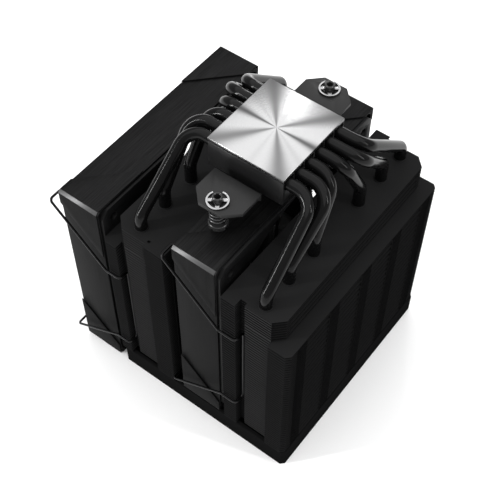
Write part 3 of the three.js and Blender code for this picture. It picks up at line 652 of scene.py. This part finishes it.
def cad_copy(node):
    """A merged copy of a CAD node's mesh, with its flat faces whole again."""
    bm = bmesh.new()
    bm.from_mesh(frame["nodes"][node].data)
    for face in bm.faces:
        face.material_index = 0
    bmesh.ops.remove_doubles(bm, verts=bm.verts, dist=2e-6)
    bmesh.ops.dissolve_limit(bm, angle_limit=math.radians(1), verts=bm.verts, edges=bm.edges)
    return bm


def pour(bm, source):
    """Adds a copy of one bmesh to another."""
    bmesh.ops.recalc_face_normals(source, faces=source.faces)
    mesh = bpy.data.meshes.new("pouring")
    source.to_mesh(mesh)
    bm.from_mesh(mesh)
    bpy.data.meshes.remove(mesh)


def carved(bm, cutter):
    """The bmesh with the cutter taken out of it; both are closed."""
    meshes = []
    for shape in (bm, cutter):
        bmesh.ops.recalc_face_normals(shape, faces=shape.faces)
        mesh = bpy.data.meshes.new("carving")
        shape.to_mesh(mesh)
        shape.free()
        meshes.append(mesh)
    stock, tool = [placed("carving", mesh) for mesh in meshes]
    modifier = stock.modifiers.new("Carve", "BOOLEAN")
    modifier.object, modifier.operation, modifier.solver = tool, "DIFFERENCE", "EXACT"
    modifier.use_self = True
    graph = bpy.context.evaluated_depsgraph_get()
    result = bmesh.new()
    result.from_mesh(stock.evaluated_get(graph).data)
    for thing, mesh in zip((stock, tool), meshes):
        bpy.data.objects.remove(thing)
        bpy.data.meshes.remove(mesh)
    return result


# ---- fins


def fin_outline(sizes, low, high, side, corner, is_wide, set_back=0):
    """Plan of a fin: end band, clip slot on the side the air comes from, cut corners."""
    inner, outer = (low.x, high.x) if side > 0 else (-high.x, -low.x)
    row = inner + sizes.pipe_row
    end = high.y
    start, stop = row - sizes.fold_width / 2, row + sizes.fold_width / 2
    fold, notch = end - sizes.fold_recess, end - sizes.notch_depth
    reach = fold - sizes.tab_width
    half = [(inner + set_back, reach), (inner, reach)] if set_back else []
    half.append((inner, end))
    if side > 0:
        slot = start - sizes.notch_width
        half += [(slot, end), (slot, notch), (start, notch), (start, fold)]
    else:
        half += [(start, end), (start, fold)]
    half.append((stop, fold))
    if is_wide and side < 0:
        slot = stop + sizes.notch_width
        half += [(stop, notch), (slot, notch), (slot, end)]
    elif is_wide:
        half.append((stop, end))
    last = end if is_wide else fold
    half += [(outer - corner, last), (outer, last - corner)]
    if set_back:
        half += [(outer, reach), (outer - set_back, reach)]
    points = half + [(x, -y) for x, y in reversed(half)]
    return [Vector((side * x, y, 0)) for x, y in points], (start, stop, fold, inner, outer)


def end_tabs(bm, sizes, places, side, low, high):
    """The folded tabs in the recesses at both ends of a fin, from one height to another."""
    start, stop, fold = places[:3]
    for y in (-fold, fold):
        inward = -math.copysign(sizes.sheet, y)
        block(bm, (side * start, y, low), (side * stop, y + inward, high))


def fin_sheet(sizes, outline, places, side, pitch, bands, set_back):
    """One fin: its flat sheet and the folded tabs that reach to the next one."""
    fold, inner, outer = places[2:]
    bm = bmesh.new()
    extrude(bm, [outline_face(bm, outline)], Z_AXIS * sizes.sheet)
    height, half = pitch - sizes.tab_gap, sizes.tab_width / 2
    end_tabs(bm, sizes, places, side, 0, height)
    reach = fold - sizes.tab_width
    for band in range(bands):
        y = -reach + 2 * reach * band / (bands - 1)
        for x, depth in ((outer, -sizes.sheet), (inner, sizes.sheet)):
            depth += math.copysign(set_back, depth)
            block(bm, (side * x, y - half, 0), (side * (x + depth), y + half, height))
    return bm


def fin_stack(tower, kind, sizes, side, count, corner):
    """A stack of fins. The long edges of every second one stand back between the tabs."""
    node, is_wide = f"{tower}_{kind}_fins", kind == "wide"
    low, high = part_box(node)
    pitch = (high.z - low.z - sizes.sheet) / (count - 1)
    bm = bmesh.new()
    for parity, set_back in enumerate((0, sizes.edge_step)):
        plan, places = fin_outline(sizes, low, high, side, corner, is_wide, set_back)
        bands = sizes.tab_bands if is_wide else 0
        sheet = fin_sheet(sizes, plan, places, side, pitch, bands, set_back)
        for index in range(parity, count - 1, 2):
            rise = Z_AXIS * (low.z + pitch * index)
            bmesh.ops.translate(sheet, verts=sheet.verts, vec=rise)
            pour(bm, sheet)
            bmesh.ops.translate(sheet, verts=sheet.verts, vec=-rise)
        sheet.free()
    plan, places = fin_outline(sizes, low, high, side, corner, is_wide)
    top = bmesh.new()
    extrude(top, [outline_face(top, plan)], Z_AXIS * sizes.sheet)
    bmesh.ops.translate(top, verts=top.verts, vec=Z_AXIS * (high.z - sizes.sheet))
    if not is_wide and side < 0:
        hole = bmesh.new()
        hole_inset = 4 * MM
        at = Vector((side * (places[0] - sizes.pin_hole), hole_inset - high.y, high.z))
        rod(hole, at, Z_AXIS, sizes.pin_hole, 3 * sizes.sheet, 16)
        top = carved(top, hole)
    if is_wide:
        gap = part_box(node.replace("wide", "narrow"))[0].z - sizes.tab_gap
        end_tabs(top, sizes, places, side, high.z - sizes.sheet, gap)
    pour(bm, top)
    top.free()
    # Painted shade and painted light: faces across the air's way take the darker copy of the coat,
    # and large faces at the fin ends take the lighter one.
    for face in bm.faces:
        if abs(face.normal.x) > 0.6:
            face.material_index = 1
        elif abs(face.normal.y) > 0.9 and face.calc_area() > LARGE_FACE:
            face.material_index = 2
    finished_piece(f"{tower}_{kind}_sheets", bm, node, ["fins", "fin_painted_shade", "fin_painted_light"])


class BuildFins(bpy.types.Operator):
    """Lay the full count of fin sheets over both towers"""

    bl_idname = "cooler.fins"
    bl_label = "Fins"

    def execute(self, context):
        sizes = context.scene.cooler_fins
        for tower, side in TOWERS:
            fin_stack(tower, "wide", sizes, side, sizes.wide_count, sizes.wide_corner)
            fin_stack(tower, "narrow", sizes, side, sizes.narrow_count, sizes.narrow_corner)
        return {"FINISHED"}


# ---- heat pipes


def pipe_corners(sizes, fins, index):
    """The corners of one U-shaped pipe. Pipes run in pairs outwards from the middle."""
    pair, side = index // 2, (-1, 1)[index % 2]
    narrow_low, narrow_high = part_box("rear_tower_narrow_fins")
    base_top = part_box("base_block")[1].z
    row = narrow_low.x + fins.pipe_row
    height = base_top - sizes.cover - sizes.radius
    lane = (pair + 0.5) * sizes.lane_pitch
    entry = (18.2 * MM, narrow_high.y - 25.3 * MM, narrow_high.y - 8.3 * MM)[pair]
    swing = (-1.5 * MM, 2.5 * MM, -1.5 * MM)[pair]
    rise = (11 * MM, 10.5 * MM, 7.5 * MM)[pair]
    half = [
        Vector((row, side * entry, sizes.low_end)),
        Vector((row, side * entry, narrow_high.z + rise)),
        Vector((row + swing, side * lane, height)),
    ]
    return half + [Vector((-p.x, p.y, p.z)) for p in reversed(half)]


class BuildPipes(bpy.types.Operator):
    """Bend the six heat pipes"""

    bl_idname = "cooler.pipes"
    bl_label = "Heat Pipes"

    def execute(self, context):
        sizes, fins = context.scene.cooler_pipes, context.scene.cooler_fins
        radii = [sizes.lower_bend, sizes.upper_bend, sizes.upper_bend, sizes.lower_bend]
        for index in range(6):
            bm = bmesh.new()
            corners = pipe_corners(sizes, fins, index)
            sweep(bm, bent(corners, radii), sizes.radius, 28)
            pipe_faces = set(bm.faces)
            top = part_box("rear_tower_narrow_fins")[1].z
            for end in (corners[0], corners[-1]):
                at = Vector((end.x, end.y, top))
                ring = [(1.0, -0.4 * MM), (1.2, -0.4 * MM), (1.12, sizes.collar * 0.4),
                        (1.06, sizes.collar), (1.0, sizes.collar)]
                profile = [(share * sizes.radius, z) for share, z in ring]
                lathe(bm, profile, at, Z_AXIS, 28)
            for face in bm.faces:
                face.material_index = int(face not in pipe_faces)
            finished_piece(
                f"bent_pipe_{index + 1}", bm, f"heat_pipe_{index + 1}", ["pipe", "fins"], 50
            )
        return {"FINISHED"}


# ---- base, bar and nuts


class BuildBase(bpy.types.Operator):
    """Soften the contact plate, base block, mounting bar and top cover"""

    bl_idname = "cooler.base"
    bl_label = "Base, Bar and Cover"

    def execute(self, context):
        for name, node, finish, width in (
            ("turned_plate", "contact_plate", "nickel", 0.25 * MM),
            ("grooved_base", "base_block", "base", 0.25 * MM),
            ("pressed_bar", "mounting_bar", "bar", 0.3 * MM),
            ("pressed_cover", "top_cover", "cover", 0.5 * MM),
        ):
            bm = cad_copy(node)
            soften(bm, width)
            finished_piece(name, bm, node, [finish])
        return {"FINISHED"}


def mounting_nut(sizes, node):
    """A turned nut with a slotted head and a groove for its ring."""
    low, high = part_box(node)
    centre = Vector(((low.x + high.x) / 2, (low.y + high.y) / 2, 0))
    ring_low, ring_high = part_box(node.replace("mounting_nut", "retaining_ring"))
    head = (high.y - low.y) / 2
    shoulder = low.z + sizes.head_height
    groove = sizes.shank - sizes.groove
    margin = 0.15 * MM
    chamfer, edge_break = 0.5 * MM, 0.3 * MM
    profile = [
        (0, low.z), (head - chamfer, low.z), (head, low.z + chamfer),
        (head, shoulder - edge_break), (head - edge_break, shoulder), (sizes.shank, shoulder),
        (sizes.shank, ring_low.z - margin), (groove, ring_low.z - margin),
        (groove, ring_high.z + margin), (sizes.shank, ring_high.z + margin),
        (sizes.shank, high.z - 0.4 * MM), (sizes.shank - 0.4 * MM, high.z),
        (sizes.bore + edge_break, high.z), (sizes.bore, high.z - edge_break),
        (sizes.bore, shoulder + MM), (0, shoulder + MM),
    ]
    bm = bmesh.new()
    lathe(bm, profile, centre, Z_AXIS)
    slots = bmesh.new()
    reach, half = head + MM, sizes.slot_width / 2
    deep = low.z + sizes.head_height / 2
    for x, y in ((reach, half), (half, reach)):
        block(slots, centre + Vector((-x, -y, low.z - MM)), centre + Vector((x, y, deep)))
    return carved(bm, slots)


def retaining_ring(sizes, node):
    """An open ring: a small face spun round the nut, with three lugs."""
    low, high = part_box(node)
    axis = frame_axis(node)
    centre = Vector((axis.x, axis.y, 0))
    outer = high.x - axis.x
    inner = outer - sizes.ring_width
    start = Matrix.Rotation(sizes.ring_mouth / 2, 3, "Z")
    corners = [(inner, low.z), (outer, low.z), (outer, high.z), (inner, high.z)]
    bm = bmesh.new()
    face = outline_face(bm, [centre + start @ Vector((r, 0, z)) for r, z in corners])
    bmesh.ops.spin(
        bm, geom=[face], cent=centre, axis=Z_AXIS, angle=FULL_TURN - sizes.ring_mouth, steps=40
    )
    tip = sizes.shank - sizes.groove + 0.15 * MM
    for degrees in (90, 180, 270):
        half = sizes.lug_width / 2
        lug = block(bm, (tip, -half, low.z), (inner + 0.3 * MM, half, high.z))
        turn = Matrix.Rotation(math.radians(degrees), 3, "Z")
        bmesh.ops.rotate(bm, verts=lug, cent=(0, 0, 0), matrix=turn)
        bmesh.ops.translate(bm, verts=lug, vec=centre)
    turn = Matrix.Rotation(sizes.ring_direction, 3, "Z")
    bmesh.ops.rotate(bm, verts=bm.verts, cent=centre, matrix=turn)
    soften(bm, 0.15 * MM, 50)
    return bm


def frame_axis(node):
    """A point on the axis of the nut that a ring or spring sits on."""
    low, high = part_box("mounting_nut_" + node[-1])
    return (low + high) / 2


def nut_spring(sizes, node):
    """A coil from the nut's head to the bar."""
    low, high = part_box(node)
    axis = frame_axis(node)
    wire = sizes.spring_wire
    radius = (high.x - low.x) / 2 - wire
    steps = int(sizes.spring_turns * 28)
    rise = high.z - low.z - 2 * wire
    points = []
    for step in range(steps + 1):
        turn = FULL_TURN * sizes.spring_turns * step / steps
        points.append(Vector((
            axis.x + radius * math.cos(turn), axis.y + radius * math.sin(turn),
            low.z + wire + rise * step / steps,
        )))
    bm = bmesh.new()
    sweep(bm, points, wire, 10)
    return bm


class BuildNuts(bpy.types.Operator):
    """Turn the two mounting nuts, with their rings and springs"""

    bl_idname = "cooler.nuts"
    bl_label = "Mounting Nuts"

    def execute(self, context):
        sizes, wires = context.scene.cooler_nuts, context.scene.cooler_wires
        for index in (1, 2):
            nut, ring = f"mounting_nut_{index}", f"retaining_ring_{index}"
            finished_piece(f"turned_nut_{index}", mounting_nut(sizes, nut), nut, ["nut"])
            finished_piece(f"open_ring_{index}", retaining_ring(sizes, ring), ring, ["bright"])
            node = f"nut_spring_{index}"
            coil = finished_piece(
                f"coil_spring_{index}", nut_spring(wires, node), node, ["spring"], 60
            )
            low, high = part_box(node)
            joint = next(j for j in frame["joints"] if j["name"] == f"nut_{index}_press")
            keep = 1 - joint["range_m"][1] / (high.z - low.z)
            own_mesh(coil)
        return {"FINISHED"}


# ---- fans


def cut_square(half, corner):
    """A square with its corners cut, in the plane across the air's way."""
    quarter = [(half - corner, -half), (half, corner - half)]
    points = []
    for quarter_turn in range(4):
        turn = Matrix.Rotation(quarter_turn * math.pi / 2, 2)
        points += [turn @ Vector(p) for p in quarter]
    return [Vector((0, y, z)) for y, z in points]


def fan_frame(sizes, name):
    """The plastic frame: a block with a round air way, its motor plate and four struts."""
    low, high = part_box(f"{name}_frame")
    centre, half, deep = fan_axis(name), (high.y - low.y) / 2, (high.x - low.x) / 2
    bm = bmesh.new()
    face = outline_face(bm, [p + centre - X_AXIS * deep for p in cut_square(half, sizes.corner)])
    extrude(bm, [face], X_AXIS * 2 * deep)
    cutter = bmesh.new()
    through = 2 * deep + 2 * MM
    rod(cutter, centre, X_AXIS, sizes.bore, through, 128)
    place = half - sizes.screw_inset
    for y in (-place, place):
        for z in (-place, place):
            at = centre + Vector((0, y, z))
            rod(cutter, at, X_AXIS, sizes.screw_hole, through, 24)
    bm = carved(bm, cutter)
    soften(bm, 0.5 * MM, 40)
    back = centre.x + deep
    plate_middle = Vector((back - sizes.motor_plate / 2, centre.y, centre.z))
    motor = bmesh.new()
    rod(motor, plate_middle, X_AXIS, sizes.hub, sizes.motor_plate, 96)
    first = sizes.hub - 2 * MM
    for index in range(4):
        strut = block(
            motor,
            centre + Vector((deep - sizes.strut_depth, -sizes.strut_width / 2, first)),
            centre + Vector((deep, sizes.strut_width / 2, sizes.bore + 0.4 * MM)),
        )
        turn = Matrix.Rotation((index + 0.5) * math.pi / 2, 3, "X")
        bmesh.ops.rotate(motor, verts=strut, cent=centre, matrix=turn)
    soften(motor, 0.4 * MM, 40)
    bearing_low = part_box(f"{name}_bearing")[0].x
    cup = [(sizes.cup_inner, bearing_low), (sizes.cup_outer, bearing_low),
           (sizes.cup_outer, back - MM), (sizes.cup_inner, back - MM),
           (sizes.cup_inner, bearing_low)]
    lathe(motor, cup, Vector((0, centre.y, centre.z)), X_AXIS, 32)
    pour(bm, motor)
    motor.free()
    return bm


def fan_blade(bm, sizes, centre, front, back):
    """One cambered, twisted blade from the hub to just short of the air way."""
    into_hub = 0.7 * MM
    root, tip = sizes.hub - into_hub, sizes.bore - sizes.blade_gap
    chord = (back - front - sizes.blade_wall) / math.sin(sizes.pitch)
    sheet = bmesh.ops.create_grid(bm, x_segments=12, y_segments=14, size=0.5)["verts"]
    for vert in sheet:
        along, out = vert.co.x, vert.co.y + 0.5
        radius = root + (tip - root) * out
        pitch = sizes.pitch - sizes.twist * out
        hollow = sizes.camber * chord * (1 - 4 * along * along)
        across = along * chord * math.sin(pitch) + hollow * math.cos(pitch)
        around = along * chord * math.cos(pitch) - hollow * math.sin(pitch)
        turn = sizes.sweep * out - around / radius
        vert.co = centre + Vector((
            (front + back) / 2 - centre.x + across,
            radius * math.sin(turn), radius * math.cos(turn),
        ))
    faces = list({face for vert in sheet for face in vert.link_faces})
    bmesh.ops.solidify(bm, geom=faces, thickness=sizes.blade_wall)


def fan_rotor(sizes, name):
    """The rotor: a hub cup, rounded in front, and its blades."""
    centre = fan_axis(name)
    frame_low, frame_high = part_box(f"{name}_frame")
    front_gap, back_gap = 1.5 * MM, 4 * MM
    front = frame_low.x + front_gap
    back = frame_high.x - sizes.motor_plate - back_gap
    bm = bmesh.new()
    fan_blade(bm, sizes, centre, front, back)
    blade = list(bm.verts) + list(bm.edges) + list(bm.faces)
    bmesh.ops.spin(
        bm, geom=blade, cent=centre, axis=X_AXIS, use_duplicate=True,
        angle=FULL_TURN * (sizes.blades - 1) / sizes.blades, steps=sizes.blades - 1,
    )
    inner = sizes.hub - sizes.hub_wall
    outside = rounded([(0, front), (sizes.hub, front), (sizes.hub, back)], sizes.hub_round)
    cup = [*outside, (inner, back), (inner, front + sizes.hub_wall), (0, front + sizes.hub_wall)]
    hub = bmesh.new()
    lathe(hub, cup, Vector((0, centre.y, centre.z)), X_AXIS, 96)
    pour(bm, hub)
    hub.free()
    return bm


def metal_skin(node):
    """A sleeve or corner guard, with its long chamfer marked as a bare edge, and the slanting end
    faces of a guard's step painted black as shade.
    """
    bm = cad_copy(node)
    for face in bm.faces:
        normal = face.normal
        slanted = min(abs(normal.y), abs(normal.z)) > 0.6 and abs(normal.x) < 0.1
        # The guard's slanting end faces take the black plastic as painted shade, a dark line along
        # the step.
        step = "guard" in node and 0.1 < abs(normal.x) < 0.98
        face.material_index = 2 if step else int(slanted and face.calc_area() > LARGE_FACE)
    soften(bm, 0.2 * MM)
    return bm


class BuildFans(bpy.types.Operator):
    """Make both fans' frames, rotors, sleeves and corner guards"""

    bl_idname = "cooler.fans"
    bl_label = "Fans"

    def execute(self, context):
        sizes = context.scene.cooler_fans
        for name in FANS:
            duct, wheel = fan_frame(sizes, name), fan_rotor(sizes, name)
            finished_piece(f"{name}_duct", duct, f"{name}_frame", ["plastic"])
            finished_piece(f"{name}_wheel", wheel, f"{name}_rotor", ["plastic"], 40)
            skins = {"sleeve": "skin"}
            skins.update({f"corner_guard_{n}": f"corner_skin_{n}" for n in range(1, 5)})
            for part, skin in skins.items():
                # The third finish is the black used as painted shade on the guards' steps.
                node, metals_and_painted_shade = f"{name}_{part}", ["sleeve", "edge", "plastic"]
                finished_piece(f"{name}_{skin}", metal_skin(node), node, metals_and_painted_shade)
        return {"FINISHED"}


# ---- wire clips


def clip_points(sizes, fins, name, side):
    """The corners of a fan clip: hook, slanting run and leg, above the axis and below it."""
    low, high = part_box(f"{name}_frame")
    clip_low, clip_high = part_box(f"{name}_clip_right")
    axis = fan_axis(name)
    half = (high.y - low.y) / 2 + sizes.frame_lip
    tower_low, tower_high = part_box("rear_tower_wide_fins")
    row = tower_low.x + fins.pipe_row
    outer_slot = -(row + fins.fold_width / 2 + fins.notch_width / 2)
    inner_slot = row - fins.fold_width / 2 - fins.notch_width / 2
    slot_x = outer_slot if name == "outer_fan" else inner_slot
    tip, front = low.x - 0.3 * MM, clip_low.x + sizes.clip_wire
    outside = clip_high.y - sizes.clip_wire
    inside = half - sizes.hook
    in_slot = tower_high.y - fins.notch_depth + 1.4 * sizes.clip_wire
    elbow = high.x + sizes.clip_bend

    def run(hook, leg):
        places = (
            (tip, inside, hook), (front, inside, hook), (front, outside, hook),
            (elbow, outside, leg), (slot_x, outside, leg), (slot_x, in_slot, leg),
        )
        return [Vector((x, side * y, axis.z + z)) for x, y, z in places]

    hook = half - sizes.hook_inset
    return run(hook, sizes.upper_leg) + run(-hook, -sizes.lower_leg)[::-1]


class BuildClips(bpy.types.Operator):
    """Bend the four wire clips that hold the fans"""

    bl_idname = "cooler.clips"
    bl_label = "Fan Clips"

    def execute(self, context):
        sizes, fins = context.scene.cooler_wires, context.scene.cooler_fins
        for name in FANS:
            for word, side in SIDES:
                corners = clip_points(sizes, fins, name, side)
                bm = bmesh.new()
                radii = [sizes.clip_bend] * (len(corners) - 2)
                sweep(bm, bent(corners, radii, 7), sizes.clip_wire, 12)
                node = f"{name}_clip_{word}"
                finished_piece(f"{name}_wire_{word}", bm, node, ["wire"], 60)
        return {"FINISHED"}


# ---- pieces kept from the frame


class FinishKept(bpy.types.Operator):
    """Give every piece kept from the frame its finish"""

    bl_idname = "cooler.kept"
    bl_label = "Kept Pieces"

    def execute(self, context):
        kept = {"bar_screw_1": "bar", "bar_screw_2": "bar"}
        for name in FANS:
            kept.update({
                f"{name}_magnet_ring": "magnet", f"{name}_shaft": "bright",
                f"{name}_bearing": "bronze", f"{name}_stator": "copper",
                f"{name}_circuit_board": "board",
            })
        for node, finish in kept.items():
            piece = frame["nodes"][node]
            piece.data.materials.clear()
            piece.data.materials.append(FINISHES[finish])
        return {"FINISHED"}


class MixFinishes(bpy.types.Operator):
    """Make every material of the cooler from its colours"""

    bl_idname = "cooler.finishes"
    bl_label = "Finishes"

    def execute(self, context):
        FINISHES.clear()
        FINISHES.update(all_finishes(context.scene.cooler_colours))
        return {"FINISHED"}


# ---- stage


def soft_light(name, place, aim, size, size_y, power):
    """A rectangular area light, turned to its aim."""
    data = bpy.data.lights.new(name, "AREA")
    data.shape = "RECTANGLE"
    data.size, data.size_y, data.energy = size, size_y, power
    light = placed(name, data)
    light.location = place
    light.rotation_mode = "QUATERNION"
    light.rotation_quaternion = (Vector(aim) - Vector(place)).to_track_quat("-Z", "Y")


class SetStage(bpy.types.Operator):
    """Set up the pale floor, the soft lights and the camera"""

    bl_idname = "cooler.stage"
    bl_label = "Studio"

    def execute(self, context):
        studio = context.scene.cooler_studio
        bm = bmesh.new()
        bmesh.ops.create_grid(bm, x_segments=1, y_segments=1, size=studio.floor_size / 2)
        mesh = bpy.data.meshes.new("floor")
        bm.to_mesh(mesh)
        bm.free()
        mesh.materials.append(FINISHES["floor"])
        floor = placed("floor", mesh)
        floor.location.z = -0.2 * MM

        camera_data = bpy.data.cameras.new("camera")
        camera_data.lens = studio.lens
        camera_data.sensor_width = 36
        camera_data.shift_x, camera_data.shift_y = CAMERA_SHIFT
        camera = placed("camera", camera_data)
        camera.matrix_world = (
            Matrix.Translation(CAMERA_PLACE)
            @ Matrix.Rotation(studio.azimuth, 4, "Z")
            @ Matrix.Rotation(math.pi / 2 - studio.elevation, 4, "X")
            @ Matrix.Rotation(studio.roll, 4, "Z")
        )
        context.scene.camera = camera

        for light in LIGHTS:
            soft_light(*light)
        world = bpy.data.worlds.new("studio")
        world.use_nodes = True
        room = Bench(world.node_tree, "Background")
        room.shader.inputs["Color"].default_value = (1, 1, 1, 1)
        seen = room.add("ShaderNodeLightPath", output="Is Camera Ray")
        room.feed("Strength", ROOM_GLOW + seen * (1 - ROOM_GLOW))
        context.scene.world = world
        context.scene.view_settings.view_transform = "Standard"
        return {"FINISHED"}


# ---- panel and running


STEPS = (MixFinishes, BuildFins, BuildPipes, BuildBase, BuildNuts, BuildFans, BuildClips,
         FinishKept, SetStage)


class CoolerPanel(bpy.types.Panel):
    """Lists the steps that make the cooler"""

    bl_idname = "VIEW3D_PT_cooler"
    bl_label = "Tower Cooler"
    bl_space_type = "VIEW_3D"
    bl_region_type = "UI"
    bl_category = "Cooler"

    def draw(self, context):
        for step in STEPS:
            self.layout.operator(step.bl_idname)


CLASSES = (*SETTINGS.values(), *STEPS, CoolerPanel)


def register():
    for kind in CLASSES:
        bpy.utils.register_class(kind)
    for name, group in SETTINGS.items():
        setattr(bpy.types.Scene, name, PointerProperty(type=group))


def unregister():
    for name in SETTINGS:
        delattr(bpy.types.Scene, name)
    for kind in reversed(CLASSES):
        bpy.utils.unregister_class(kind)


def main():
    register()
    for step in STEPS:
        group, name = step.bl_idname.split(".")
        getattr(getattr(bpy.ops, group), name)()


if __name__ == "__main__":
    main()
